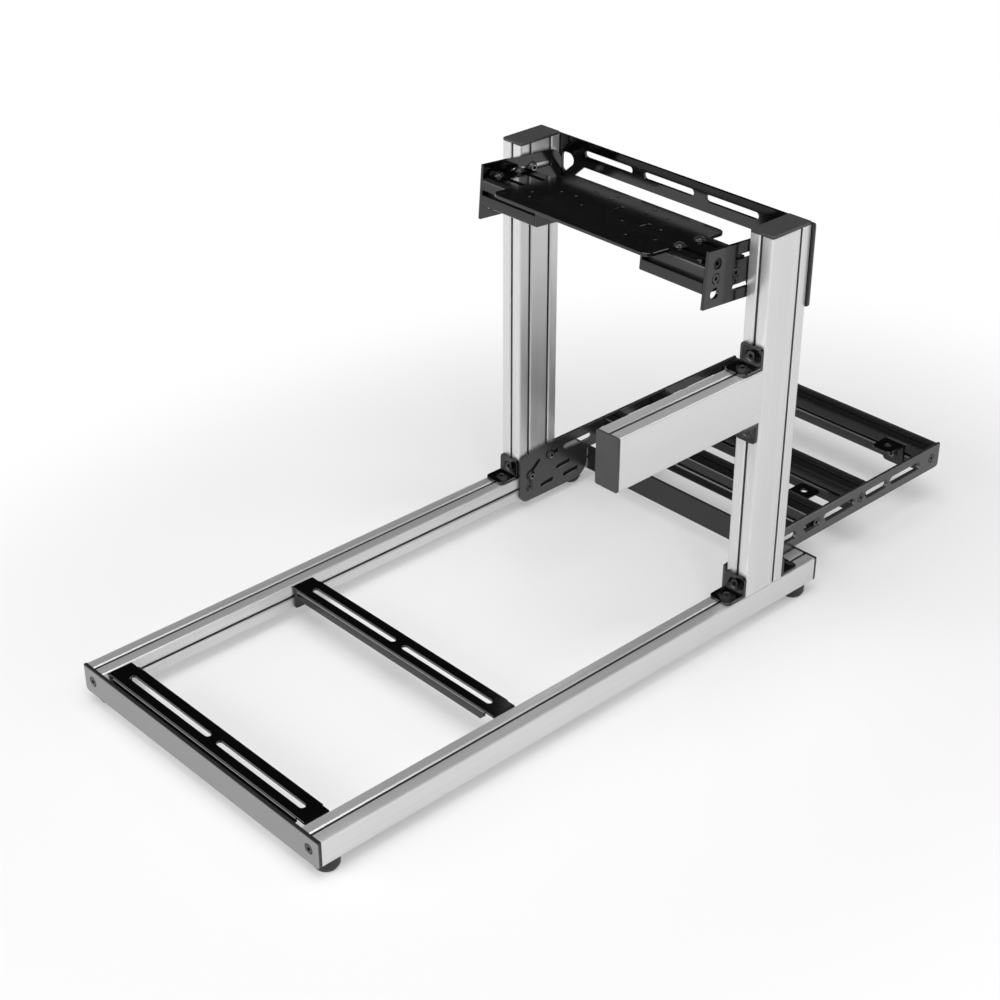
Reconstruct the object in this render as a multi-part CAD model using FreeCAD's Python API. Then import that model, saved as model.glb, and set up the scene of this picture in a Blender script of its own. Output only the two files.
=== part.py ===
import FreeCAD, Part
import math
import os

# Sizes in millimetres. The frame stands on its feet at z = 0; x runs across it and y from the seat end to
# the pedal end.
overall_length = 1306.4
overall_width = 514.5
profile = 40.0
rail_length = 940.0
end_plate = 5.0
end_plate_height = 42.0
foot_height = 20.0
foot_radius = 18.0
foot_floor_radius = 14.5
foot_bevel = 6.0
foot_sides = 24
foot_inset_front = 26.0
foot_inset_rear = 28.0

# Uprights, their caps and the arm that stands out beside the seat.
upright_from_front = 788.4
upright_depth = 80.0
upright_height = 556.0
cap_thickness = 4.3
arm_length = 278.0
arm_height = 80.0
arm_underside = 286.2
arm_cap = 4.0

# Groove of the extruded profiles: mouth, lip, inner width, shoulder, full depth and floor width.
groove_mouth = 8.2
groove_lip = 4.5
groove_inner = 20.0
groove_shoulder = 7.5
groove_depth = 12.3
groove_floor = 9.6
profile_edge = 3.0

# Bent sheet that carries the seat.
seat_sheet = 3.0
seat_depth = 44.0
seat_end_gap = 0.3
seat_end_step = 3.0
seat_front_edge = 9.4
seat_spacing = 316.0
seat_flange = 13.8
seat_flange_inset = 17.25
seat_slot_width = 9.0
seat_slot_bridge = 17.0
seat_slot_inset = 27.75
seat_slot_shift = 1.6
seat_ear_depth = 32.0
seat_ear_height = 40.0
seat_ear_radius = 5.0
seat_bend = 3.0

# Angle brackets: the long leg, the short leg, and the hole in each from the corner line.
bracket_long = 38.0
bracket_short = 34.0
bracket_width = 38.0
bracket_thickness = 5.0
bracket_corner = 7.0
bracket_long_hole = 20.0
bracket_short_hole = 17.5
bolt_hole = 4.2
sunk_head = 7.8

# Wheel deck: two side plates, two short profiles and the slotted plate, leaning down towards the pedals.
deck_tilt = 4.5
side_plate = 5.0
wheel_side_length = 161.5
wheel_side_height = 81.5
wheel_side_front = -79.3
wheel_side_top = 549.9
wheel_side_radius = 27.0
wheel_side_hole = 8.0
wheel_side_slot_start = 56.0
wheel_side_slot_length = 84.0
wheel_slot_offset = 20.7
wheel_side_slot_width = 8.0
wheel_bar_length = 113.0
wheel_bar_cap = 3.0
wheel_bar_drop = 21.0
wheel_bar_depth = 80.0
wheel_plate_thickness = 5.0
wheel_plate_length = 158.0
wheel_plate_inset = 67.75
wheel_plate_front = -41.0
wheel_plate_shift = -1.5
wheel_plate_corner = 13.0
wheel_wing_corner = 8.0
wheel_wing_inset = 11.25
wheel_wing_slot = 57.0
wheel_wing_slot_inset = 42.75
wheel_base_slot = 40.0
wheel_base_slot_offset = 70.0
wheel_cross_slot_offset = 92.5
wheel_cross_slot = 30.0
wheel_base_slot_width = 6.0
wheel_base_hole = 2.8
wheel_base_holes = ((69, 88), (34, 81), (34.5, 98), (39, 27), (95, 44), (118, 9))

# Beam across the tops of the uprights.
beam_thickness = 4.5
beam_overhang = 3.6
beam_rise = 1.0
beam_band = 40.0
beam_ear = 121.0
beam_corner = 3.5
beam_gusset = 50.0
beam_gusset_drop = 45.0
beam_slot_bridge = 23.0
beam_slot_inset = 51.75
beam_slot_width = 10.0
beam_slot_drop = 18.0
beam_cable_width = 40.0
beam_cable_height = 36.0
beam_cable_drop = 26.0
beam_cable_inset = 4.25

# Pedal deck: two long side plates that carry three crossbars, and four angle brackets for the pedals.
pedal_side_front = -2.0
pedal_side_bottom = 45.5
pedal_front_radius = 17.0
pedal_lobe_radius = 27.0
pedal_side_lobe = 149.0
pedal_bar_bottom = 2.5
pedal_bar_top = 44.5
pedal_slope_length = 45.0
pedal_slope_drop = 8.0
pedal_end_radius = 6.0
pedal_bar_gaps = (108.0, 182.0)
pedal_last_bar = 20.0
pedal_slot_spans = ((92, 160), (177, 217), (225, 302), (326, 383), (389, 467))
pedal_slot_width = 14.0
pedal_slot_bevel = 2.5
pedal_front_screw = 19.0
# Fine slots of the deep front part: y and z of the middle, length and turn.
pedal_fine_slots = ((94, -6.5, 32, 4), (111.5, -26.5, 34, 3), (57.5, -26.5, 28, 5), (31, 14, 26, 38),
                    (20, 0, 22, 90), (70, 22.5, 26, 8))
pedal_fine_slot_width = 6.8
pedal_bracket_drop = 4.5
pedal_bracket_thickness = 3.0
pedal_bracket_spacing = 317.4
pedal_bracket_hole = 5.0

half = overall_width / 2
inner = half - profile
rail_top = foot_height + profile
front_y = -overall_length / 2
rear_y = overall_length / 2
upright_y = front_y + upright_from_front
upright_back = upright_y + upright_depth
rail_x = half - profile / 2
rail_front_y = front_y + end_plate
rail_rear_y = rail_front_y + rail_length
SIDES = (("left", -1), ("right", 1))

pieces = {}


def spot(axis, a, b, along=0.0):
    # Point with two coordinates across an axis and one along it.
    if axis == "x":
        return FreeCAD.Vector(along, a, b)
    if axis == "y":
        return FreeCAD.Vector(a, along, b)
    return FreeCAD.Vector(a, b, along)


def outline(axis, corners, along):
    # Closed flat face through the corners (a, b, radius). A radius of 8 or more is an arc, a smaller one is
    # three flats, which keeps the facets few.
    ends = []
    for i, (a, b, r) in enumerate(corners):
        before = corners[i - 1]
        after = corners[(i + 1) % len(corners)]
        here = FreeCAD.Vector(a, b, 0)
        back = (FreeCAD.Vector(before[0], before[1], 0) - here).normalize()
        ahead = (FreeCAD.Vector(after[0], after[1], 0) - here).normalize()
        if r <= 0:
            ends.append((here, None, here))
            continue
        turn = back.getAngle(ahead)
        reach = r / math.tan(turn / 2)
        middle = (back + ahead).normalize()
        centre = here + middle * (r / math.sin(turn / 2))
        start = here + back * reach
        stop = here + ahead * reach
        if r >= 8:
            ends.append((start, centre - middle * r, stop))
            continue
        third = (math.pi - turn) / 6
        across = (stop - start).normalize()
        inner_corner = -middle * (r * math.cos(third))
        step = across * (r * math.sin(third))
        near = centre + inner_corner - step
        far = centre + inner_corner + step
        ends += [(start, None, start), (near, None, near), (far, None, far), (stop, None, stop)]
    edges = []
    for i, (start, bend, stop) in enumerate(ends):
        if bend is not None:
            arc = [spot(axis, v.x, v.y, along) for v in (start, bend, stop)]
            edges.append(Part.Arc(*arc).toShape())
        following = ends[(i + 1) % len(ends)][0]
        if (following - stop).Length > 1e-6:
            edges.append(Part.LineSegment(spot(axis, stop.x, stop.y, along),
                                          spot(axis, following.x, following.y, along)).toShape())
    return Part.Face(Part.Wire(edges))


def slab(axis, corners, start, thickness):
    # Plate or bar with that outline, from start along the axis.
    return outline(axis, corners, start).extrude(spot(axis, 0, 0, thickness))


def box_corners(a0, a1, b0, b1, radius=0.0):
    return [(a0, b0, radius), (a1, b0, radius), (a1, b1, radius), (a0, b1, radius)]


def polyhedron(rings):
    # Solid with flat faces through rings of points, each ring with the same number of points.
    closed = [ring + ring[:1] for ring in rings]
    faces = [Part.Face(Part.makePolygon(ring)) for ring in (closed[0], closed[-1])]
    for low, high in zip(closed, closed[1:]):
        for i in range(len(low) - 1):
            faces.append(Part.Face(Part.makePolygon([low[i], low[i + 1], high[i + 1], high[i], low[i]])))
    solid = Part.Solid(Part.Shell(faces))
    if solid.Volume < 0:
        solid.reverse()
    return solid


def slot_ring(a, b, length, width, turn=0.0, flats=6):
    # Corner points of a slot whose round ends have that number of flats.
    reach = length / 2 - width / 2
    radius = width / 2
    ring = []
    for end, first in ((1, -90), (-1, 90)):
        for i in range(flats + 1):
            at = math.radians(turn + first + 180 * i / flats)
            ring.append((a + end * reach * math.cos(math.radians(turn)) + radius * math.cos(at),
                         b + end * reach * math.sin(math.radians(turn)) + radius * math.sin(at), 0))
    return ring


def slot_cut(axis, a, b, length, width, start, thickness, turn=0.0):
    # Round-ended slot through a plate; its length runs along the first direction, turned by an angle. A
    # slot for small screws has six flats to each end, which keeps the facets few.
    reach = length / 2 - width / 2
    radius = width / 2
    if width < 7:
        return slab(axis, slot_ring(a, b, length, width, turn), start - 1, thickness + 2)
    line = FreeCAD.Vector(math.cos(math.radians(turn)), math.sin(math.radians(turn)), 0)
    side = FreeCAD.Vector(-line.y, line.x, 0)
    mid = FreeCAD.Vector(a, b, 0)
    tip = reach + radius
    flat = [mid + line * reach + side * radius, mid + line * tip, mid + line * reach - side * radius,
            mid - line * reach - side * radius, mid - line * tip, mid - line * reach + side * radius]
    q = [spot(axis, v.x, v.y, start - 1) for v in flat]
    wire = Part.Wire([Part.Arc(q[0], q[1], q[2]).toShape(), Part.LineSegment(q[2], q[3]).toShape(),
                      Part.Arc(q[3], q[4], q[5]).toShape(), Part.LineSegment(q[5], q[0]).toShape()])
    return Part.Face(wire).extrude(spot(axis, 0, 0, thickness + 2))


def hole_cut(axis, a, b, radius, start, thickness):
    return Part.makeCylinder(radius, thickness + 2, spot(axis, a, b, start - 1), spot(axis, 0, 0, 1))


def ring_of_flats(a, b, radius, flats=12):
    turns = [2 * math.pi * i / flats for i in range(flats)]
    return [(a + radius * math.cos(turn), b + radius * math.sin(turn), 0) for turn in turns]


def screw_hole(axis, a, b, start, thickness, radius=bolt_hole, flats=12):
    # Hole with flats, which keeps the facets few; most of them lie under a bolt head.
    return slab(axis, ring_of_flats(a, b, radius, flats), start - 1, thickness + 2)


def sunk_hole(axis, a, b, face, way, thickness):
    # Hole for a screw whose head lies sunk in the face; way is the direction in which that face looks.
    steps = ((sunk_head + 1, -1), (bolt_hole, sunk_head - bolt_hole), (bolt_hole, thickness + 1))
    rings = []
    for radius, depth in steps:
        rings.append([spot(axis, p, q, face - way * depth) for p, q, _ in ring_of_flats(a, b, radius)])
    return polyhedron(rings)


def sunk_slot(axis, a, b, length, width, bevel, face, way, thickness):
    # Slot through a plate with a bevel round its rim on the face that looks along way.
    rings = []
    for shrink, depth in ((-1, -1), (bevel, bevel), (bevel, thickness + 1)):
        ring = slot_ring(a, b, length - 2 * shrink, width - 2 * shrink, 0.0, 8)
        rings.append([spot(axis, p, q, face - way * depth) for p, q, _ in ring])
    return polyhedron(rings)


def edge_trim(axis, a, b, way_a, way_b, radius, start, length):
    # Sliver outside a bend along the sharp edge at (a, b), whose material lies towards way_a and way_b.
    turns = [math.radians(angle) for angle in (0, 30, 60, 90)]
    bend = [(a + way_a * radius * (1 - math.sin(turn)), b + way_b * radius * (1 - math.cos(turn)), 0)
            for turn in turns]
    corners = [(a - way_a, b - way_b, 0), (a + way_a * radius, b - way_b, 0)] + bend
    return slab(axis, corners + [(a - way_a, b + way_b * radius, 0)], start - 1, length + 2)


def extrusion(axis, a0, a1, b0, b1, start, length, grooves):
    # Profile bar with rounded long edges and T-shaped grooves on the named sides.
    bar = slab(axis, box_corners(a0, a1, b0, b1, profile_edge), start, length)
    mouth = groove_mouth / 2
    wide = groove_inner / 2
    floor = groove_floor / 2
    section = [(-mouth, 1.0), (-mouth, -groove_lip), (-wide, -groove_lip), (-wide, -groove_shoulder),
               (-floor, -groove_depth), (floor, -groove_depth), (wide, -groove_shoulder),
               (wide, -groove_lip), (mouth, -groove_lip), (mouth, 1.0)]
    place = {"a+": lambda across, out, at: (a1 + out, at + across, 0),
             "a-": lambda across, out, at: (a0 - out, at + across, 0),
             "b+": lambda across, out, at: (at + across, b1 + out, 0),
             "b-": lambda across, out, at: (at + across, b0 - out, 0)}
    for side, at in grooves:
        corners = [place[side](across, out, at) for across, out in section]
        bar = bar.cut(slab(axis, corners, start - 1, length + 2))
    return bar


def lean(shape):
    # Turns a piece of the wheel deck about the front top corner of its side plates.
    shape.rotate(FreeCAD.Vector(0, upright_y + wheel_side_front, rail_top + wheel_side_top),
                 FreeCAD.Vector(1, 0, 0), -deck_tilt)
    return shape


# Base: two rails with grooves on top, inside and below, between two end plates with rounded lower corners.
for name, s in SIDES:
    low, high = sorted((s * half, s * inner))
    inward = "a-" if s > 0 else "a+"
    grooves = [("b+", s * rail_x), (inward, rail_top - profile / 2), ("b-", s * rail_x)]
    pieces["base_rail_" + name] = extrusion("y", low, high, foot_height, rail_top, rail_front_y,
                                            rail_length, grooves)

for name, y0 in (("front", front_y), ("rear", rail_rear_y)):
    low_z = rail_top - end_plate_height
    plate = slab("y", [(-half, low_z, 6), (half, low_z, 6), (half, rail_top, 0), (-half, rail_top, 0)],
                 y0, end_plate)
    way = -1 if name == "front" else 1
    face = y0 if name == "front" else y0 + end_plate
    for s in (-1, 1):
        plate = plate.cut(sunk_hole("y", s * rail_x, rail_top - profile / 2, face, way, end_plate))
    pieces["end_plate_" + name] = plate


def tapered_foot(x, y):
    # Foot with flat sides: a short taper from the floor, then straight up to the rail.
    rings = []
    for radius, z in ((foot_floor_radius, 0.0), (foot_radius, foot_bevel), (foot_radius, foot_height)):
        turns = [2 * math.pi * i / foot_sides for i in range(foot_sides)]
        rings.append([FreeCAD.Vector(x + radius * math.cos(a), y + radius * math.sin(a), z) for a in turns])
    return polyhedron(rings)


# Rubber feet with a tapered lower edge.
foot_rows = (("front", front_y + foot_inset_front), ("rear", rail_rear_y + end_plate - foot_inset_rear))
for name, s in SIDES:
    for end, y in foot_rows:
        pieces["foot_" + end + "_" + name] = tapered_foot(s * rail_x, y)

# Seat crossmembers: bent sheet let in between the rails, flush with their tops.
seat_half = inner - seat_end_gap
seat_flange_half = inner - seat_flange_inset
seat_slot_end = inner - seat_slot_inset
seat_slot_length = seat_slot_end - seat_slot_bridge / 2
seat_slot_centre = (seat_slot_end + seat_slot_bridge / 2) / 2
for name, y0 in (("front", front_y + seat_front_edge), ("rear", front_y + seat_front_edge + seat_spacing)):
    mid_y = y0 + seat_depth / 2
    y1 = y0 + seat_depth
    step = seat_end_step
    in0 = y0 + step
    in1 = y1 - step
    top = slab("z", [(-seat_half, in0, 0), (-seat_flange_half, in0, 0), (-seat_flange_half, y0, 0),
                     (seat_flange_half, y0, 0), (seat_flange_half, in0, 0), (seat_half, in0, 0),
                     (seat_half, in1, 0), (seat_flange_half, in1, 0), (seat_flange_half, y1, 0),
                     (-seat_flange_half, y1, 0), (-seat_flange_half, in1, 0), (-seat_half, in1, 0)],
               rail_top - seat_sheet, seat_sheet)
    fold = seat_flange_half
    fold_low = fold - seat_flange / 2
    flange = slab("y", [(-fold, rail_top - 1, 0), (-fold, rail_top - seat_flange / 2, 0),
                        (-fold_low, rail_top - seat_flange, 0), (fold_low, rail_top - seat_flange, 0),
                        (fold, rail_top - seat_flange / 2, 0), (fold, rail_top - 1, 0)], y0, seat_sheet)
    back = flange.copy()
    back.translate(FreeCAD.Vector(0, seat_depth - seat_sheet, 0))
    member = top.fuse([flange, back])
    for s in (-1, 1):
        x0 = min(s * seat_half, s * (seat_half - seat_sheet))
        ear0 = mid_y - seat_ear_depth / 2
        ear1 = mid_y + seat_ear_depth / 2
        ear_low = rail_top - seat_ear_height
        ear = slab("x", [(ear0, ear_low, seat_ear_radius), (ear1, ear_low, seat_ear_radius),
                         (ear1, rail_top - 1, 0), (ear0, rail_top - 1, 0)], x0, seat_sheet)
        ear = ear.cut(screw_hole("x", mid_y, rail_top - profile / 2, x0, seat_sheet))
        member = member.fuse(ear)
        member = member.cut(slot_cut("z", s * seat_slot_centre + seat_slot_shift, mid_y, seat_slot_length,
                                     seat_slot_width, rail_top - seat_sheet, seat_sheet))
        member = member.cut(edge_trim("y", s * seat_half, rail_top, -s, -1, seat_bend, y0, seat_depth))
    for y, way in ((y0, 1), (y1, -1)):
        member = member.cut(edge_trim("x", y, rail_top, way, -1, seat_bend, -fold, 2 * fold))
    pieces["seat_crossmember_" + name] = member.removeSplitter()

# Uprights stand on the rails: grooves in front, behind, two inside and one outside towards the pedals.
for name, s in SIDES:
    low, high = sorted((s * half, s * inner))
    inward = "a-" if s > 0 else "a+"
    outward = "a+" if s > 0 else "a-"
    first = upright_y + profile / 2
    second = upright_back - profile / 2
    pieces["upright_" + name] = extrusion("z", low, high, upright_y, upright_back, rail_top, upright_height,
                                          [("b-", s * rail_x), ("b+", s * rail_x), (inward, first),
                                           (inward, second), (outward, second)])
    pieces["upright_cap_" + name] = slab("z", box_corners(low, high, upright_y, upright_back, profile_edge),
                                         rail_top + upright_height, cap_thickness)

# Arm on the right upright, closed outside, with a cap on its free end.
arm_z = rail_top + arm_underside
arm_top = arm_z + arm_height
pieces["side_arm"] = extrusion("y", inner, half, arm_z, arm_top, upright_y - arm_length, arm_length,
                               [("b+", rail_x), ("b-", rail_x), ("a-", arm_z + profile / 2),
                                ("a-", arm_top - profile / 2)])
pieces["side_arm_cap"] = slab("y", box_corners(inner, half, arm_z, arm_top, profile_edge),
                              upright_y - arm_length - arm_cap, arm_cap)


def leg_outline(x0, x1, root, tip):
    # Leg of an angle bracket: square at the bend, with its two tip corners rounded.
    return [(x0, root, 0), (x1, root, 0), (x1, tip, bracket_corner), (x0, tip, bracket_corner)]


def angle_bracket(x, y, z, along_y, along_z, flat_leg, wall_leg, thickness=bracket_thickness,
                  open_hole=0.0):
    # Angle bracket on the corner line through (x, y, z): one leg lies flat along y, the other stands along
    # z. Screws lie sunk in it, except where its flat leg has an open hole.
    flat_reach, flat_hole = flat_leg
    wall_reach, wall_hole = wall_leg
    x0 = x - bracket_width / 2
    x1 = x + bracket_width / 2
    low_z = min(z, z + along_z * thickness)
    low_y = min(y, y + along_y * thickness)
    flat = slab("z", leg_outline(x0, x1, y, y + along_y * flat_reach), low_z, thickness)
    wall = slab("y", leg_outline(x0, x1, z, z + along_z * wall_reach), low_y, thickness)
    hole_y = y + along_y * flat_hole
    hole_z = z + along_z * wall_hole
    if open_hole > 0:
        flat = flat.cut(hole_cut("z", x, hole_y, open_hole, low_z, thickness))
        wall = wall.cut(screw_hole("y", x, hole_z, low_y, thickness))
        return flat.fuse(wall).removeSplitter()
    both = flat.fuse(wall)
    both = both.cut(sunk_hole("z", x, hole_y, z + along_z * thickness, along_z, thickness))
    both = both.cut(sunk_hole("y", x, hole_z, y + along_y * thickness, along_y, thickness))
    return both.removeSplitter()


LONG = (bracket_long, bracket_long_hole)
SHORT = (bracket_short, bracket_short_hole)
for name, s in SIDES:
    for end, y, way in (("front", upright_y, -1), ("rear", upright_back, 1)):
        pieces["corner_bracket_" + end + "_" + name] = angle_bracket(s * rail_x, y, rail_top, way, 1,
                                                                     LONG, SHORT)
pieces["arm_bracket_upper"] = angle_bracket(rail_x, upright_y, arm_top, -1, 1, LONG, SHORT)
pieces["arm_bracket_lower"] = angle_bracket(rail_x, upright_y, arm_z, -1, -1, LONG, SHORT)

# Wheel deck, drawn level from the front top corner of the side plates and then leaned.
deck_y = upright_y + wheel_side_front
deck_z = rail_top + wheel_side_top
bar_top = deck_z - wheel_bar_drop
bar_mid = bar_top - profile / 2
bar_rows = (deck_y + profile / 2, deck_y + wheel_bar_depth - profile / 2)
for name, s in SIDES:
    x0 = min(s * inner, s * (inner - side_plate))
    end_y = deck_y + wheel_side_length
    low_z = deck_z - wheel_side_height
    r = wheel_side_radius
    plate = slab("x", [(deck_y, low_z, 0), (end_y, low_z, r), (end_y, deck_z, r), (deck_y, deck_z, 0)],
                 x0, side_plate)
    for dz in (-wheel_slot_offset, wheel_slot_offset):
        plate = plate.cut(screw_hole("x", bar_rows[0], bar_mid + dz, x0, side_plate, wheel_side_hole, 20))
        slot_y = deck_y + wheel_side_slot_start + wheel_side_slot_length / 2
        plate = plate.cut(slot_cut("x", slot_y, bar_mid + dz, wheel_side_slot_length, wheel_side_slot_width,
                                   x0, side_plate))
    for y in bar_rows:
        plate = plate.cut(sunk_hole("x", y, bar_mid, s * inner, s, side_plate))
    pieces["wheel_side_plate_" + name] = lean(plate)
    near = inner - side_plate
    free = near - wheel_bar_length
    bar_start = min(s * near, s * (free + wheel_bar_cap))
    bar = extrusion("x", deck_y, deck_y + wheel_bar_depth, bar_top - profile, bar_top, bar_start,
                    wheel_bar_length - wheel_bar_cap,
                    [("a-", bar_mid), ("a+", bar_mid), ("b+", bar_rows[0]), ("b+", bar_rows[1])])
    pieces["wheel_bar_" + name] = lean(bar)
    cap = slab("x", box_corners(deck_y, deck_y + wheel_bar_depth, bar_top - profile, bar_top, profile_edge),
               min(s * free, s * (free + wheel_bar_cap)), wheel_bar_cap)
    pieces["wheel_bar_cap_" + name] = lean(cap)

# Slotted plate on the bars: wide body, four wing slots for its bolts, and the pattern for the wheel base.
cx = wheel_plate_shift
body = inner - wheel_plate_inset
wing = inner - wheel_wing_inset
y0 = deck_y + wheel_plate_front
y1 = y0 + wheel_plate_length
y2 = deck_y
y3 = deck_y + wheel_bar_depth
r = wheel_plate_corner
w = wheel_wing_corner
wheel_plate = slab("z", [(cx - body, y0, r), (cx + body, y0, r), (cx + body, y2, 0), (cx + wing, y2, w),
                         (cx + wing, y3, w), (cx + body, y3, 0), (cx + body, y1, r), (cx - body, y1, r),
                         (cx - body, y3, 0), (cx - wing, y3, w), (cx - wing, y2, w), (cx - body, y2, 0)],
                   bar_top, wheel_plate_thickness)
cuts = []
for s in (-1, 1):
    wing_x = cx + s * (inner - wheel_wing_slot_inset)
    for y in bar_rows:
        cuts.append(slot_cut("z", wing_x, y, wheel_wing_slot, 2 * bolt_hole, bar_top, wheel_plate_thickness))
    cuts.append(slot_cut("z", cx + s * wheel_base_slot_offset, deck_y + 31, wheel_base_slot,
                         wheel_base_slot_width, bar_top, wheel_plate_thickness, 90))
    cuts.append(slot_cut("z", cx + s * wheel_cross_slot_offset, deck_y - 10, wheel_cross_slot,
                         wheel_base_slot_width, bar_top, wheel_plate_thickness))
    for x, y in wheel_base_holes:
        cuts.append(screw_hole("z", cx + s * x, deck_y + y, bar_top, wheel_plate_thickness,
                               wheel_base_hole))
cuts.append(slot_cut("z", cx, deck_y + 52, wheel_base_slot, wheel_base_slot_width, bar_top,
                     wheel_plate_thickness, 90))
pieces["wheel_plate"] = lean(wheel_plate.cut(cuts))

# Beam on the backs of the uprights, with ears that run down them.
top = rail_top + upright_height + beam_rise
band = top - beam_band
low = top - beam_ear
slope = band - beam_gusset_drop
wide = half + beam_overhang
r = beam_corner
beam = slab("y", [(-wide, low, r), (-inner, low, r), (-inner, slope, 0), (-inner + beam_gusset, band, 0),
                  (inner - beam_gusset, band, 0), (inner, slope, 0), (inner, low, r), (wide, low, r),
                  (wide, top, r), (-wide, top, r)], upright_back, beam_thickness)
beam_slot_pitch = (2 * (inner - beam_slot_inset) + beam_slot_bridge) / 3
beam_slot = beam_slot_pitch - beam_slot_bridge
for x in (-beam_slot_pitch, 0, beam_slot_pitch):
    beam = beam.cut(slot_cut("y", x, top - beam_slot_drop, beam_slot, beam_slot_width,
                             upright_back, beam_thickness))
cable_z = top - beam_cable_drop
for s in (-1, 1):
    x = s * (inner - beam_cable_inset)
    hole = [(x, cable_z, 8), (x - s * beam_cable_width, cable_z, 10), (x, cable_z - beam_cable_height, 5)]
    beam = beam.cut(slab("y", hole, upright_back - 1, beam_thickness + 2))
pieces["top_cross_beam"] = beam

# Pedal deck: side plates against the insides of the rails and uprights, deep in front, a slotted bar
# behind.
bar_z = rail_top + (pedal_bar_bottom + pedal_bar_top) / 2
last = rear_y - pedal_last_bar
centres = (last - pedal_bar_gaps[1] - pedal_bar_gaps[0], last - pedal_bar_gaps[1], last)
for name, s in SIDES:
    x0 = min(s * inner, s * (inner - side_plate))
    f = upright_y + pedal_side_front
    lobe = upright_y + pedal_side_lobe
    low_z = rail_top - pedal_side_bottom
    bar_low = rail_top + pedal_bar_bottom
    bar_high = rail_top + pedal_bar_top
    plate = slab("x", [(f, low_z, pedal_front_radius), (lobe, low_z, pedal_lobe_radius), (lobe, bar_low, 0),
                       (rear_y, bar_low, pedal_end_radius), (rear_y, bar_high, 0),
                       (f + pedal_slope_length, bar_high, 0), (f, bar_high - pedal_slope_drop, 0)],
                 x0, side_plate)
    cuts = [sunk_slot("x", upright_y + (start + stop) / 2, bar_z, stop - start, pedal_slot_width,
                      pedal_slot_bevel, s * inner, s, side_plate) for start, stop in pedal_slot_spans]
    cuts += [sunk_hole("x", y, bar_z, s * inner, s, side_plate) for y in centres[1:]]
    cuts.append(sunk_hole("x", upright_y + pedal_front_screw, rail_top - profile / 2,
                          s * (inner - side_plate), -s, side_plate))
    cuts += [slot_cut("x", upright_y + y, rail_top + z, length, pedal_fine_slot_width, x0, side_plate, turn)
             for y, z, length, turn in pedal_fine_slots]
    pieces["pedal_side_plate_" + name] = plate.cut(cuts)

span = inner - side_plate
for name, centre in zip(("front", "middle", "rear"), centres):
    y0 = centre - profile / 2
    z0 = bar_z - profile / 2
    grooves = [("a-", bar_z), ("a+", bar_z), ("b+", centre), ("b-", centre)]
    pieces["pedal_crossbar_" + name] = extrusion("x", y0, y0 + profile, z0, z0 + profile, -span, 2 * span,
                                                 grooves)

# Angle brackets that hold the pedals: on the back of the front crossbar and on the front of the rear one.
bracket_z = bar_z + profile / 2 - pedal_bracket_drop
for name, s in SIDES:
    x = s * pedal_bracket_spacing / 2
    for end, y, way in (("front", centres[0] + profile / 2, 1), ("rear", centres[2] - profile / 2, -1)):
        pieces["pedal_bracket_" + end + "_" + name] = angle_bracket(
            x, y, bracket_z, way, -1, LONG, LONG, pedal_bracket_thickness, pedal_bracket_hole)

os.makedirs("parts", exist_ok=True)
for name, shape in pieces.items():
    shape.exportStep("parts/" + name + ".step")
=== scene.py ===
import math

import bmesh
import bpy
from mathutils import Matrix, Vector


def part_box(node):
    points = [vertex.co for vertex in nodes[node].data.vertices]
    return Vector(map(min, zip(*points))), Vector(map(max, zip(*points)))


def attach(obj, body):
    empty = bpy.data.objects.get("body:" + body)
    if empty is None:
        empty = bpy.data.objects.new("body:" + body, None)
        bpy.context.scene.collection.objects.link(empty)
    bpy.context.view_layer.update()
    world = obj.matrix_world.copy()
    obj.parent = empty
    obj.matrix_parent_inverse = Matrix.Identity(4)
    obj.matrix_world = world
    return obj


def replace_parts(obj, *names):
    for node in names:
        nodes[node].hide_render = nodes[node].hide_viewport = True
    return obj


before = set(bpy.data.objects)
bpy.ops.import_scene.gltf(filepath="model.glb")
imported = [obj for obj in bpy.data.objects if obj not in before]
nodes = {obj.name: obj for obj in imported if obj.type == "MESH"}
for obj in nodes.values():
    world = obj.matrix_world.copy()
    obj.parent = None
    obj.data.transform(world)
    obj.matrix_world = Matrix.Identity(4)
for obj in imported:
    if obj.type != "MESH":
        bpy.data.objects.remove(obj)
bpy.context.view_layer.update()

# The camera stands at the seat end on the side with the arm and looks down along the frame. Its place,
# its turn and its lens come from the long straight edges of the profiles.
camera_data = bpy.data.cameras.new("camera")
camera_data.sensor_width = 36
camera_data.lens = 70.08
camera_data.clip_end = 100
camera = bpy.data.objects.new("camera", camera_data)
camera.location = (1.72885, -1.7326, 1.61019)
camera.rotation_euler = (math.radians(59.48), 0, math.radians(46.83))
bpy.context.scene.collection.objects.link(camera)
bpy.context.scene.camera = camera


# The studio: a wide pale floor that rises softly at its far rim, a broad soft lamp overhead, and weaker ones
# round the frame that lift the upright faces and the edges. Away from the frame the floor is plain white.
class Tone:
    # One output of a shader node, which can be used in a Python sum.
    tree = None

    def __init__(self, socket):
        self.socket = socket

    @staticmethod
    def node(kind, settings, inputs, output=0):
        made = Tone.tree.nodes.new(kind)
        for name, value in settings.items():
            setattr(made, name, value)
        for name, value in inputs.items():
            if isinstance(value, Tone):
                Tone.tree.links.new(value.socket, made.inputs[name])
            else:
                made.inputs[name].default_value = value
        return Tone(made.outputs[output])

    def work_out(self, operation, first, second):
        return Tone.node("ShaderNodeMath", {"operation": operation}, {0: first, 1: second})

    def __add__(self, other):
        return self.work_out("ADD", self, other)

    def __radd__(self, other):
        return self.work_out("ADD", other, self)

    def __mul__(self, other):
        return self.work_out("MULTIPLY", self, other)

    def __rmul__(self, other):
        return self.work_out("MULTIPLY", other, self)

    def __gt__(self, other):
        return self.work_out("GREATER_THAN", self, other)

    def __lt__(self, other):
        return self.work_out("LESS_THAN", self, other)


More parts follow.
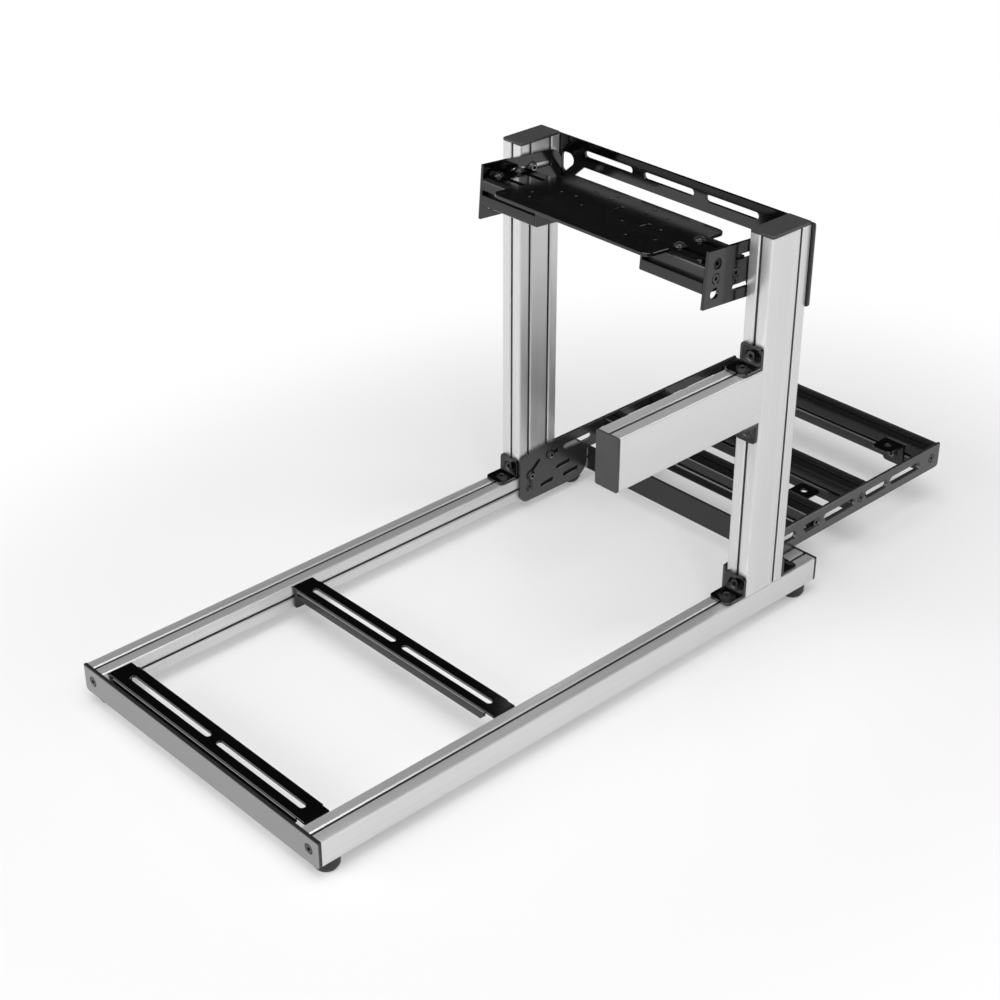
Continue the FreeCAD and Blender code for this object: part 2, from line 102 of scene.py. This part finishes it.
def start_finish(name):
    # An empty material, and the place on the object as the coordinates of its patterns.
    material = bpy.data.materials.new(name)
    material.use_nodes = True
    Tone.tree = material.node_tree
    Tone.tree.nodes.clear()
    return material, Tone.node("ShaderNodeTexCoord", {}, {}, "Object")


def end_finish(surface):
    output = Tone.tree.nodes.new("ShaderNodeOutputMaterial")
    Tone.tree.links.new(surface.socket, output.inputs["Surface"])


def blend_colours(share, first, second):
    mixed = Tone.tree.nodes.new("ShaderNodeMix")
    mixed.data_type = "RGBA"
    Tone.tree.links.new(share.socket, mixed.inputs[0])
    for place, colour in ((6, first), (7, second)):
        if isinstance(colour, Tone):
            Tone.tree.links.new(colour.socket, mixed.inputs[place])
        else:
            mixed.inputs[place].default_value = (*colour, 1)
    return Tone(mixed.outputs[2])


floor_paint, place = start_finish("studio_floor")
white_from = 0.42
white_at = 1.0
white_near_frame = 0.32
flattened = Tone.node("ShaderNodeMapping", {}, {"Vector": place, "Scale": (1.0, 0.75, 0.0)})
distance = Tone.node("ShaderNodeVectorMath", {"operation": "LENGTH"}, {0: flattened}, "Value")
far = Tone.node("ShaderNodeMapRange", {"interpolation_type": "SMOOTHSTEP"},
                {"Value": distance, "From Min": white_from, "From Max": white_at})
seen = sum((Tone.node("ShaderNodeLightPath", {}, {}, ray) for ray in
            ("Is Camera Ray", "Is Glossy Ray", "Is Transmission Ray")), 0)
matt = Tone.node("ShaderNodeBsdfPrincipled", {},
                 {"Base Color": (0.83, 0.83, 0.83, 1), "Roughness": 0.9, "Specular IOR Level": 0.1})
pale = blend_colours(far, (0.86, 0.86, 0.86), (1, 1, 1))
white = Tone.node("ShaderNodeBsdfPrincipled", {},
                  {"Base Color": (0, 0, 0, 1), "Roughness": 1.0, "Specular IOR Level": 0.0,
                   "Emission Color": pale, "Emission Strength": 1.0})
share_of_white = (far * (1 - white_near_frame) + white_near_frame) * seen
end_finish(Tone.node("ShaderNodeMixShader", {}, {0: share_of_white, 1: matt, 2: white}))

floor_mesh = bmesh.new()
sweep = [floor_mesh.verts.new((x, 0, z))
         for x, z in ((0, 0), (11, 0), (12.6, 0.2), (14, 0.9), (14.8, 1.9), (15, 3.1))]
run = [floor_mesh.edges.new(pair) for pair in zip(sweep, sweep[1:])]
bmesh.ops.spin(floor_mesh, geom=sweep + run, cent=(0, 0, 0), axis=(0, 0, 1), angle=2 * math.pi, steps=72,
               use_merge=True)
bmesh.ops.remove_doubles(floor_mesh, verts=floor_mesh.verts, dist=1e-5)
bmesh.ops.recalc_face_normals(floor_mesh, faces=floor_mesh.faces)
floor_mesh.faces.ensure_lookup_table()
if floor_mesh.faces[0].normal.z < 0:
    bmesh.ops.reverse_faces(floor_mesh, faces=floor_mesh.faces)
floor_data = bpy.data.meshes.new("studio_floor")
floor_mesh.to_mesh(floor_data)
floor_mesh.free()
floor = bpy.data.objects.new("studio_floor", floor_data)
floor.data.materials.append(floor_paint)
bpy.context.scene.collection.objects.link(floor)

world = bpy.data.worlds.new("studio_room")
world.use_nodes = True
world.node_tree.nodes["Background"].inputs["Color"].default_value = (0.018, 0.018, 0.018, 1)
world.node_tree.nodes["Background"].inputs["Strength"].default_value = 1.0
bpy.context.scene.world = world
bpy.context.scene.view_settings.view_transform = "Standard"


def soft_lamp(name, place, width, height, power):
    # A flat lamp that faces the middle of the frame.
    lamp_data = bpy.data.lights.new(name, "AREA")
    lamp_data.shape = "RECTANGLE"
    lamp_data.size = width
    lamp_data.size_y = height
    lamp_data.energy = power
    lamp = bpy.data.objects.new(name, lamp_data)
    lamp.location = place
    lamp.rotation_euler = (Vector((0, 0, 0.2)) - Vector(place)).to_track_quat("-Z", "Y").to_euler()
    bpy.context.scene.collection.objects.link(lamp)


soft_lamp("overhead_lamp", (0.6, -0.65, 3.4), 3.2, 3.3, 115)
soft_lamp("front_lamp", (-1.6, -4.6, 2.0), 5.2, 3.0, 210)
soft_lamp("side_lamp", (4.2, -0.4, 1.2), 3.0, 1.8, 38)
soft_lamp("edge_lamp", (2.3, 2.7, 2.8), 1.6, 1.0, 20)
soft_lamp("glint_lamp", (2.6, -1.4, 3.0), 0.35, 0.35, 15)


# Silver profiles: the two base rails, the two uprights and the arm are bars of extruded aluminium with slots
# for sliding nuts. They are anodised in a satin silver, with faint die lines along their length, and the lips
# of their slots slope gently into the mouth. Below the lips, the slots are painted dark grey as painted shade.
def noise(place, scale, detail=2.0, stretch=(1, 1, 1)):
    moved = Tone.node("ShaderNodeMapping", {}, {"Vector": place, "Scale": stretch})
    return Tone.node("ShaderNodeTexNoise", {}, {"Vector": moved, "Scale": scale, "Detail": detail})


def shades(colour, darker, lighter):
    # A darker and a lighter shade of a colour.
    return tuple(darker * c for c in colour), tuple(lighter * c for c in colour)


def metal_or_plastic(inputs):
    end_finish(Tone.node("ShaderNodeBsdfPrincipled", {}, inputs))


def anodised(name, along, colour, roughness, metallic):
    material, place = start_finish(name)
    stretch = [1.0, 1.0, 1.0]
    stretch["xyz".index(along)] = 0.004
    lines = noise(place, 900, 3, stretch)
    broad = noise(place, 160, 2, stretch)
    cloud = noise(place, 9, 2)
    bump = Tone.node("ShaderNodeBump", {}, {"Strength": 0.25, "Distance": 0.0001, "Height": lines})
    metal_or_plastic({"Base Color": blend_colours(lines * 0.5 + broad * 0.3 + cloud * 0.2,
                                                  *shades(colour, 0.84, 1.14)),
                      "Metallic": metallic,
                      "Roughness": roughness - 0.06 + lines * 0.07 + cloud * 0.06, "Normal": bump})
    return material


def merged_copy(name):
    # A copy of a solid's loose triangles, merged into one closed shape.
    shape = bmesh.new()
    shape.from_mesh(nodes[name].data)
    bmesh.ops.remove_doubles(shape, verts=shape.verts, dist=1e-6)
    return shape


def join_flat_faces(shape):
    bmesh.ops.dissolve_limit(shape, angle_limit=math.radians(0.6), verts=shape.verts, edges=shape.edges)


def shade_by_angle(shape):
    # Shades the curved faces smoothly and keeps every edge of more than 30 degrees sharp.
    for edge in shape.edges:
        edge.smooth = edge.is_manifold and edge.calc_face_angle() < math.radians(30)
    for face in shape.faces:
        face.smooth = True


def make_piece(name, shape, finishes):
    mesh = bpy.data.meshes.new(name)
    shape.to_mesh(mesh)
    shape.free()
    piece = bpy.data.objects.new(name, mesh)
    for finish in finishes:
        piece.data.materials.append(finish)
    bpy.context.scene.collection.objects.link(piece)
    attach(piece, "root")
    return piece


def stand_for(name, shape, record_slot, *finishes):
    # Puts the finished copy of a solid in its place.
    shade_by_angle(shape)
    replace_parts(make_piece(name + "_finished", shape, finishes), name)


lip_depth = 0.0045
lip_slope = 0.0022
lip_drop = 0.0011
corner_size = 0.0035


def groove_lips(shape, low, high):
    # Slopes the lips of a bar's grooves gently into a narrower mouth, and gives all that lies below them the
    # second finish, a darker one that is painted shade. Depths are measured in from the bar's four long sides.
    size = high - low
    along = max(range(3), key=lambda axis: size[axis])
    across = [axis for axis in range(3) if axis != along]

    def side_depth(place, axis):
        return min(place[axis] - low[axis], high[axis] - place[axis])

    def depth(place):
        return min(side_depth(place, axis) for axis in across)

    def outwards(place):
        axis = min(across, key=lambda a: side_depth(place, a))
        way = Vector((0, 0, 0))
        way[axis] = 1 if high[axis] - place[axis] < place[axis] - low[axis] else -1
        return way

    walls = [f for f in shape.faces if abs(depth(f.calc_center_median()) - lip_depth / 2) < 0.001
             and max(abs(f.normal[axis]) for axis in across) > 0.999]
    lip_edges = []
    for wall in walls:
        lip_edges += [e for e in wall.edges if all(depth(v.co) < 0.0002 for v in e.verts)]
        bmesh.ops.translate(shape, verts=wall.verts, vec=wall.normal * lip_slope)
    sloped = bmesh.ops.bevel(shape, geom=lip_edges, offset=lip_slope, offset_type="OFFSET", segments=1,
                             profile=0.5, affect="EDGES", clamp_overlap=True, material=-1)["faces"]
    lower = {v for f in sloped for v in f.verts if depth(v.co) > 0.0004}
    for vert in lower:
        vert.co += outwards(vert.co) * (depth(vert.co) - lip_drop)
    # All below the lips, except the corners, takes the darker finish: painted shade in the slots.
    for face in shape.faces:
        middle = face.calc_center_median()
        in_corner = all(side_depth(middle, axis) < corner_size for axis in across)
        if depth(middle) > lip_drop + 0.0002 and abs(face.normal[along]) < 0.5 and not in_corner:
            face.material_index = 1


def grooved_bars(names, record_slot, finish, groove_shade):
    for name in names:
        shape = merged_copy(name)
        join_flat_faces(shape)
        groove_lips(shape, *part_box(name))
        stand_for(name, shape, record_slot, finish, groove_shade)


silver = (0.67, 0.67, 0.67)
# The second finish of each bar is a far darker copy of its colour, painted shade inside the slots.
grooved_bars(["base_rail_left", "base_rail_right", "side_arm"], "silver_profile",
             anodised("silver_along", "y", silver, 0.31, 0.66),
             anodised("groove_painted_shade_along", "y", (0.202, 0.202, 0.202), 0.45, 0.6))
grooved_bars(["upright_left", "upright_right"], "silver_profile",
             anodised("silver_upright", "z", silver, 0.31, 0.66),
             anodised("groove_painted_shade_upright", "z", (0.303, 0.303, 0.303), 0.45, 0.6))


# Black profiles: the three pedal crossbars and the two short bars of the wheel deck are extruded in the same
# way. They are anodised black, and inside their slots a duller and darker black is painted as painted shade.
grooved_bars(["pedal_crossbar_front", "pedal_crossbar_middle", "pedal_crossbar_rear", "wheel_bar_left",
              "wheel_bar_right"], "black_profile",
             anodised("black_across", "x", (0.007, 0.007, 0.007), 0.24, 0.0),
             anodised("groove_painted_shade_black", "x", (0.002, 0.002, 0.002), 0.5, 0.0))


# Black steel: all plates, brackets and bent sheets are cut from steel, with their sharp edges taken off. They
# are powder coated in a semi-gloss black, which shows a fine orange peel.
def powder_coat(name, colour, roughness, metallic=0.0, shine=0.5):
    material, place = start_finish(name)
    peel = noise(place, 1400, 2)
    patch = noise(place, 30, 3)
    bump = Tone.node("ShaderNodeBump", {}, {"Strength": 0.3, "Distance": 0.00005, "Height": peel})
    metal_or_plastic({"Base Color": blend_colours(patch * 0.7 + peel * 0.3, *shades(colour, 0.8, 1.25)),
                      "Metallic": metallic, "Specular IOR Level": shine,
                      "Roughness": roughness - 0.05 + patch * 0.08 + peel * 0.04, "Normal": bump})
    return material


def break_rims(shape, facing, width):
    # Breaks the edges round the two broad faces of a plate.
    for way in (1, -1):
        normal = facing * way
        level = max(v.co.dot(normal) for v in shape.verts)
        broad = [f for f in shape.faces if all(v.co.dot(normal) > level - 1e-5 for v in f.verts)]
        strip = bmesh.ops.inset_region(shape, faces=broad, use_boundary=True, use_even_offset=False,
                                       thickness=width)["faces"]
        kept = {v for f in broad for v in f.verts}
        rim = {v for f in strip for v in f.verts} - kept
        bmesh.ops.translate(shape, verts=list(rim), vec=-normal * width)


def flat_plates(names, facing, finish, width=0.0005):
    for name in names:
        shape = merged_copy(name)
        break_rims(shape, Vector(facing), width)
        stand_for(name, shape, "black_steel", finish)


def bevelled(names, width, record_slot, finish):
    # Stands for each solid with a copy whose sharp edges are bevelled, so that they catch the light.
    for name in names:
        shape = merged_copy(name)
        join_flat_faces(shape)
        sharp = [e for e in shape.edges if e.is_manifold and e.calc_face_angle() > math.radians(35)]
        bmesh.ops.bevel(shape, geom=sharp, offset=width, offset_type="OFFSET", segments=1, profile=0.5,
                        affect="EDGES", clamp_overlap=True, material=-1)
        stand_for(name, shape, record_slot, finish)


black_coat = powder_coat("black_coat", (0.0012, 0.0012, 0.0012), 0.11, 0.0, 0.65)
flat_plates(["seat_crossmember_front", "seat_crossmember_rear"], (0, 0, 1), black_coat, 0.0004)
flat_plates(["top_cross_beam"], (0, 1, 0), black_coat)


# The wheel plate leans with its deck. It is a slotted steel plate in the same coat, and the walls of its many
# holes and slots are painted a dull, darker black as painted shade.
lean = math.radians(4.5)
deck_up = Vector((0, math.sin(lean), math.cos(lean)))
hole_margin = 0.004
low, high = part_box("wheel_plate")
wheel_plate = merged_copy("wheel_plate")
break_rims(wheel_plate, deck_up, 0.0005)
# The walls of holes and slots inside the plate take the dull dark finish, painted shade.
for face in wheel_plate.faces:
    middle = face.calc_center_median()
    inside = all(low[axis] + hole_margin < middle[axis] < high[axis] - hole_margin for axis in (0, 1))
    if inside and abs(face.normal.dot(deck_up)) < 0.2:
        face.material_index = 1
stand_for("wheel_plate", wheel_plate, "black_steel", black_coat,
          powder_coat("hole_walls_painted_shade", (0.0005, 0.0005, 0.0005), 0.6, 0.0, 0.1))


# Side plates and brackets: the wheel deck hangs between two steel plates, and the pedal deck between two long
# ones, whose coat is painted a little greyer as painted light, for the light that falls on them low down.
# Small angle brackets hold the uprights, the arm and the pedals.
flat_plates(["wheel_side_plate_left", "wheel_side_plate_right"], (1, 0, 0), black_coat)
# The pedal plates' coat: the same black painted lighter, as painted light.
flat_plates(["pedal_side_plate_left", "pedal_side_plate_right"], (1, 0, 0),
            powder_coat("pedal_coat_painted_light", (0.02, 0.02, 0.02), 0.22, 0.0, 0.8))
bevelled([name for name in nodes if "bracket" in name], 0.0005, "black_steel", black_coat)


# End plates: flat steel plates are screwed over the ends of the rails. They are satin grey on their broad
# outer faces and black round their edges; the black over the top edge and along the top margin of the outer
# face is painted shade.
def end_plate_finish(name, face_y, way, face_top):
    material, place = start_finish(name)
    across = Tone.node("ShaderNodeSeparateXYZ", {}, {"Vector": place}, "Y")
    height = Tone.node("ShaderNodeSeparateXYZ", {}, {"Vector": place}, "Z")
    # Grey only on the outer face below a top band; the black band and the top edge there are painted shade.
    face = (across * way > face_y * way - 0.0003) * (height < face_top)
    grain = noise(place, 700, 3, (0.02, 1, 1))
    cloud = noise(place, 14, 2)
    grey = blend_colours(grain * 0.6 + cloud * 0.4, (0.2, 0.2, 0.2), (0.258, 0.258, 0.258))
    bump = Tone.node("ShaderNodeBump", {}, {"Strength": 0.2, "Distance": 0.0001, "Height": grain})
    metal_or_plastic({"Base Color": blend_colours(face, (0.008, 0.008, 0.008), grey),
                      "Metallic": face * 0.3, "Roughness": 0.42 + cloud * 0.08, "Normal": bump})
    return material


# The band along the top of the outer face that is painted black, as painted shade.
top_shade_band = 0.0018
end_faces = []
for name, way in (("end_plate_front", -1), ("end_plate_rear", 1)):
    low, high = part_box(name)
    face_y = low.y if way < 0 else high.y
    end_faces.append((face_y, way))
    finish = end_plate_finish(name + "_finish", face_y, way, high.z - top_shade_band)
    flat_plates([name], (0, 1, 0), finish, 0.0004)


# Caps and feet: the open ends of the profiles carry matt grey plastic caps, and the rails stand on round
# rubber feet.
def moulded(name, colour, roughness, grain):
    material, place = start_finish(name)
    fine = noise(place, grain, 3)
    cloud = noise(place, 40, 2)
    bump = Tone.node("ShaderNodeBump", {}, {"Strength": 0.4, "Distance": 0.00015, "Height": fine})
    metal_or_plastic({"Base Color": blend_colours(cloud, *shades(colour, 0.85, 1.15)),
                      "Roughness": roughness - 0.05 + fine * 0.1, "Normal": bump})
    return material


bevelled([name for name in nodes if "cap" in name], 0.0008, "grey_caps",
         moulded("grey_cap", (0.035, 0.035, 0.035), 0.38, 1600))
bevelled([name for name in nodes if name.startswith("foot")], 0.0005, "rubber_feet",
         moulded("foot_rubber", (0.02, 0.02, 0.02), 0.65, 900))


# Screws: sunk ones sit flush in the plates and brackets, and round ones stand on the plates that can shift.
# All are blackened steel with a hex socket. The round ones have a lighter polished ring round the socket,
# partly wear from the tightening and partly a painted highlight in place of glints.
def screw_head(rim, key, depth, wear_and_glint_reach=0.0):
    # A head turned from its rim (radius, height), from its foot to its top, with a hex socket. Within the
    # given
    # radius, its top takes the second finish: a lighter steel ring, partly wear and partly a painted
    # highlight.
    head = bmesh.new()
    socket = key / math.sqrt(3)
    line = [head.verts.new((x, 0, z)) for x, z in rim]
    edges = [head.edges.new(pair) for pair in zip(line, line[1:])]
    bmesh.ops.spin(head, geom=line + edges, cent=(0, 0, 0), axis=(0, 0, 1), angle=2 * math.pi, steps=32,
                   use_merge=True)
    bmesh.ops.remove_doubles(head, verts=head.verts, dist=1e-7)
    middle = (rim[0][1] + rim[-1][1]) / 2
    open_edges = [e for e in head.edges if e.is_boundary]
    top = [e for e in open_edges if e.verts[0].co.z > middle]
    base = [e for e in open_edges if e.verts[0].co.z < middle]
    bmesh.ops.contextual_create(head, geom=base)
    before = set(head.edges)
    bmesh.ops.create_circle(head, cap_ends=False, segments=6, radius=socket,
                            matrix=Matrix.Translation((0, 0, rim[-1][1])))
    hexagon = [e for e in head.edges if e not in before]
    bmesh.ops.bridge_loops(head, edges=top + hexagon)
    wall = bmesh.ops.extrude_edge_only(head, edges=hexagon)["geom"]
    corners = [g for g in wall if isinstance(g, bmesh.types.BMVert)]
    bmesh.ops.translate(head, vec=(0, 0, -depth), verts=corners)
    bmesh.ops.contextual_create(head, geom=[g for g in wall if isinstance(g, bmesh.types.BMEdge)])
    bmesh.ops.recalc_face_normals(head, faces=head.faces)
    shade_by_angle(head)
    for face in head.faces:
        reach = face.calc_center_median().to_2d().length
        if socket < reach < wear_and_glint_reach and face.normal.z > 0.9:
            face.material_index = 1
    mesh = bpy.data.meshes.new("head")
    head.to_mesh(mesh)
    head.free()
    return mesh


def screws(name, head, spots, finish):
    # One piece out of all screws of a group; each spot is a place on a face and the way that face looks.
    group = bmesh.new()
    for spot, facing in spots:
        first = len(group.verts)
        group.from_mesh(head)
        group.verts.ensure_lookup_table()
        turn = Vector((0, 0, 1)).rotation_difference(Vector(facing)).to_matrix().to_4x4()
        bmesh.ops.transform(group, matrix=Matrix.Translation(spot) @ turn, verts=group.verts[first:])
    make_piece(name, group, (finish, wear_and_glint_steel))


sunk_black = powder_coat("sunk_black", (0.05, 0.05, 0.05), 0.26, 0.6)
round_black = powder_coat("round_black", (0.004, 0.004, 0.004), 0.16, 0.0, 0.5)
# A lighter polished steel for the ring round the socket: partly wear, partly a painted highlight for glints.
wear_and_glint_steel = powder_coat("wear_and_glint_steel", (0.4, 0.4, 0.4), 0.28, 0.9)
sunk_head = screw_head([(0.0040, -0.0030), (0.0066, -0.0005), (0.0064, -0.0002)], 0.005, 0.0026)
round_head = screw_head([(0.0085, 0), (0.0087, 0.0005), (0.0086, 0.0010), (0.0082, 0.0014),
                         (0.0072, 0.0016), (0.0070, 0.0023), (0.0066, 0.0031), (0.0060, 0.0038),
                         (0.0052, 0.0043), (0.0044, 0.0046), (0.0038, 0.0047)], 0.005, 0.0030, 0.0042)

# Each bracket has a screw in its flat leg and one in its standing leg, measured from its corner line.
bracket_leg = 0.005
flat_hole = 0.020
standing_hole = 0.0175
bracket_spots = []
for name in ("corner_bracket_front_left", "corner_bracket_front_right", "corner_bracket_rear_left",
             "corner_bracket_rear_right", "arm_bracket_upper", "arm_bracket_lower"):
    low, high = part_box(name)
    middle_x = (low.x + high.x) / 2
    away = 1 if "rear" in name else -1
    rise = -1 if "lower" in name else 1
    corner_y = high.y if away < 0 else low.y
    corner_z = high.z if rise < 0 else low.z
    bracket_spots.append(((middle_x, corner_y + away * flat_hole, corner_z + rise * bracket_leg),
                          (0, 0, rise)))
    bracket_spots.append(((middle_x, corner_y + away * bracket_leg, corner_z + rise * standing_hole),
                          (0, away, 0)))
screws("bracket_screws", sunk_head, bracket_spots, sunk_black)

rail_low, rail_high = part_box("base_rail_right")
rail_middle = (rail_low + rail_high) / 2
inner_x = rail_low.x
screws("end_plate_screws", sunk_head,
       [((side * rail_middle.x, face_y, rail_middle.z), (0, way, 0)) for face_y, way in end_faces
        for side in (-1, 1)], sunk_black)

seat_sheet = 0.003
seat_spots = []
for name in ("seat_crossmember_front", "seat_crossmember_rear"):
    low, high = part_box(name)
    middle_y = (low.y + high.y) / 2
    seat_spots += [((low.x + seat_sheet, middle_y, rail_middle.z), (1, 0, 0)),
                   ((high.x - seat_sheet, middle_y, rail_middle.z), (-1, 0, 0))]
screws("seat_screws", round_head, seat_spots, round_black)

beam_screw_drops = (0.095, 0.025)
low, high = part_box("top_cross_beam")
screws("beam_screws", round_head,
       [((side * rail_middle.x, high.y, high.z - drop), (0, 1, 0)) for side in (-1, 1)
        for drop in beam_screw_drops], round_black)

# Wheel deck screws: round ones hold the plate to its two bars and the side plates to the uprights, and sunk
# ones hold the bars to the side plates. The deck leans, so they are placed from its front top corner, along
# the deck and down from it.
side_plate = 0.005
side_plate_height = 0.0815
plate_screws_x = (-0.199, 0.1505)
plate_screws_along = (0.0195, 0.0595)
plate_face_down = 0.016
bar_rows_along = (0.020, 0.060)
bar_middle_down = 0.041
upright_screws_along = 0.0993
upright_screws_down = (0.0203, 0.0617)
low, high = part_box("wheel_side_plate_left")
deck_front = low.y + side_plate_height * math.sin(lean)
deck_top = high.z


def on_deck(x, along, down):
    return (x, deck_front + along * math.cos(lean) - down * math.sin(lean),
            deck_top - along * math.sin(lean) - down * math.cos(lean))


screws("wheel_plate_screws", round_head,
       [(on_deck(x, along, plate_face_down), deck_up) for x in plate_screws_x
        for along in plate_screws_along], round_black)
screws("wheel_side_screws", sunk_head,
       [(on_deck(side * inner_x, along, bar_middle_down), (side, 0, 0)) for side in (-1, 1)
        for along in bar_rows_along], sunk_black)
screws("wheel_upright_screws", round_head,
       [(on_deck(side * (inner_x - side_plate), upright_screws_along, down), (-side, 0, 0))
        for side in (-1, 1) for down in upright_screws_down], sunk_black)

# Pedal deck screws: sunk ones go through the side plates into the crossbars and the rails, and round ones sit
# in the slots of the deep front part and in the brackets that hold the pedals.
upright_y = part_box("upright_left")[0].y
slot_rim_drop = 0.0006
rail_screw_y = 0.019
adjusting_screws = ((0.0205, 0.0), (0.0635, 0.0222))
pedal_bracket_leg = 0.003
pedal_bracket_hole = 0.020
pedal_sunk = []
pedal_round = []
for side in (-1, 1):
    for end, drop in (("middle", 0), ("rear", 0), ("front", slot_rim_drop)):
        low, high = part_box("pedal_crossbar_" + end)
        middle = (low + high) / 2
        pedal_sunk.append(((side * (inner_x - drop), middle.y, middle.z), (side, 0, 0)))
    inner_face = side * (inner_x - side_plate)
    pedal_sunk.append(((inner_face, upright_y + rail_screw_y, rail_middle.z), (-side, 0, 0)))
    pedal_round += [((inner_face, upright_y + y, rail_high.z + z), (-side, 0, 0)) for y, z in adjusting_screws]
for name in ("pedal_bracket_front_left", "pedal_bracket_front_right", "pedal_bracket_rear_left",
             "pedal_bracket_rear_right"):
    low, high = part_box(name)
    way = 1 if "front" in name else -1
    face_y = low.y + pedal_bracket_leg if way > 0 else high.y - pedal_bracket_leg
    pedal_round.append((((low.x + high.x) / 2, face_y, high.z - pedal_bracket_hole), (0, way, 0)))
screws("pedal_sunk_screws", sunk_head, pedal_sunk, sunk_black)
screws("pedal_round_screws", round_head, pedal_round, round_black)

# Plugs and painted shade: the upper front hole of each wheel side plate is stopped with a recessed black plug,
# and thin matt black sheets lie in the fine slots of the pedal side plates, which are cut through, as painted
# shade.
hole_plug = screw_head([(0.0070, -0.0044), (0.0077, -0.0040), (0.0077, -0.0018), (0.0072, -0.0014)],
                       0.006, 0.002)
# One matt black for the plugs and for the sheets of painted shade in the slots.
plug_and_shade_black = moulded("plug_and_shade_black", (0.004, 0.004, 0.004), 0.7, 900)
plug_down = 0.020
screws("hole_plugs", hole_plug,
       [(on_deck(side * inner_x, bar_rows_along[0], plug_down), (side, 0, 0)) for side in (-1, 1)],
       plug_and_shade_black)

# Each fine slot: the y and z of its middle, its length, and its turn in degrees.
fine_slots = ((0.094, -0.0065, 0.032, 4), (0.1115, -0.0265, 0.034, 3), (0.0575, -0.0265, 0.028, 5),
              (0.031, 0.014, 0.026, 38), (0.020, 0.0, 0.022, 90), (0.070, 0.0225, 0.026, 8))
fine_slot_width = 0.0066
slot_fit = 0.0002
shade_sheet_face = 0.00005
shade_sheet_depth = 0.0009
# Thin black sheets of painted shade, one in each fine slot of both pedal side plates.
shade_sheets = bmesh.new()
for side in (-1, 1):
    for y, z, length, turn in fine_slots:
        disc = bmesh.ops.create_circle(shade_sheets, cap_ends=True, segments=24, radius=fine_slot_width / 2,
                                       matrix=Matrix.Rotation(math.radians(7.5), 4, "Z"))["verts"]
        reach = (length - fine_slot_width - slot_fit) / 2
        for vert in disc:
            vert.co.x += reach if vert.co.x > 0 else -reach
        plate = [disc[0].link_faces[0]]
        rear = bmesh.ops.extrude_face_region(shade_sheets, geom=plate, use_keep_orig=True)["geom"]
        rear = [g for g in rear if isinstance(g, bmesh.types.BMVert)]
        bmesh.ops.translate(shade_sheets, verts=rear, vec=(0, 0, shade_sheet_face - shade_sheet_depth))
        upright = Matrix(((0, 0, side, side * (inner_x - shade_sheet_face)), (1, 0, 0, upright_y + y),
                          (0, 1, 0, rail_high.z + z), (0, 0, 0, 1)))
        bmesh.ops.transform(shade_sheets, verts=disc + rear,
                            matrix=upright @ Matrix.Rotation(math.radians(turn), 4, "Z"))
bmesh.ops.recalc_face_normals(shade_sheets, faces=shade_sheets.faces)
make_piece("slot_painted_shade", shade_sheets, [plug_and_shade_black])
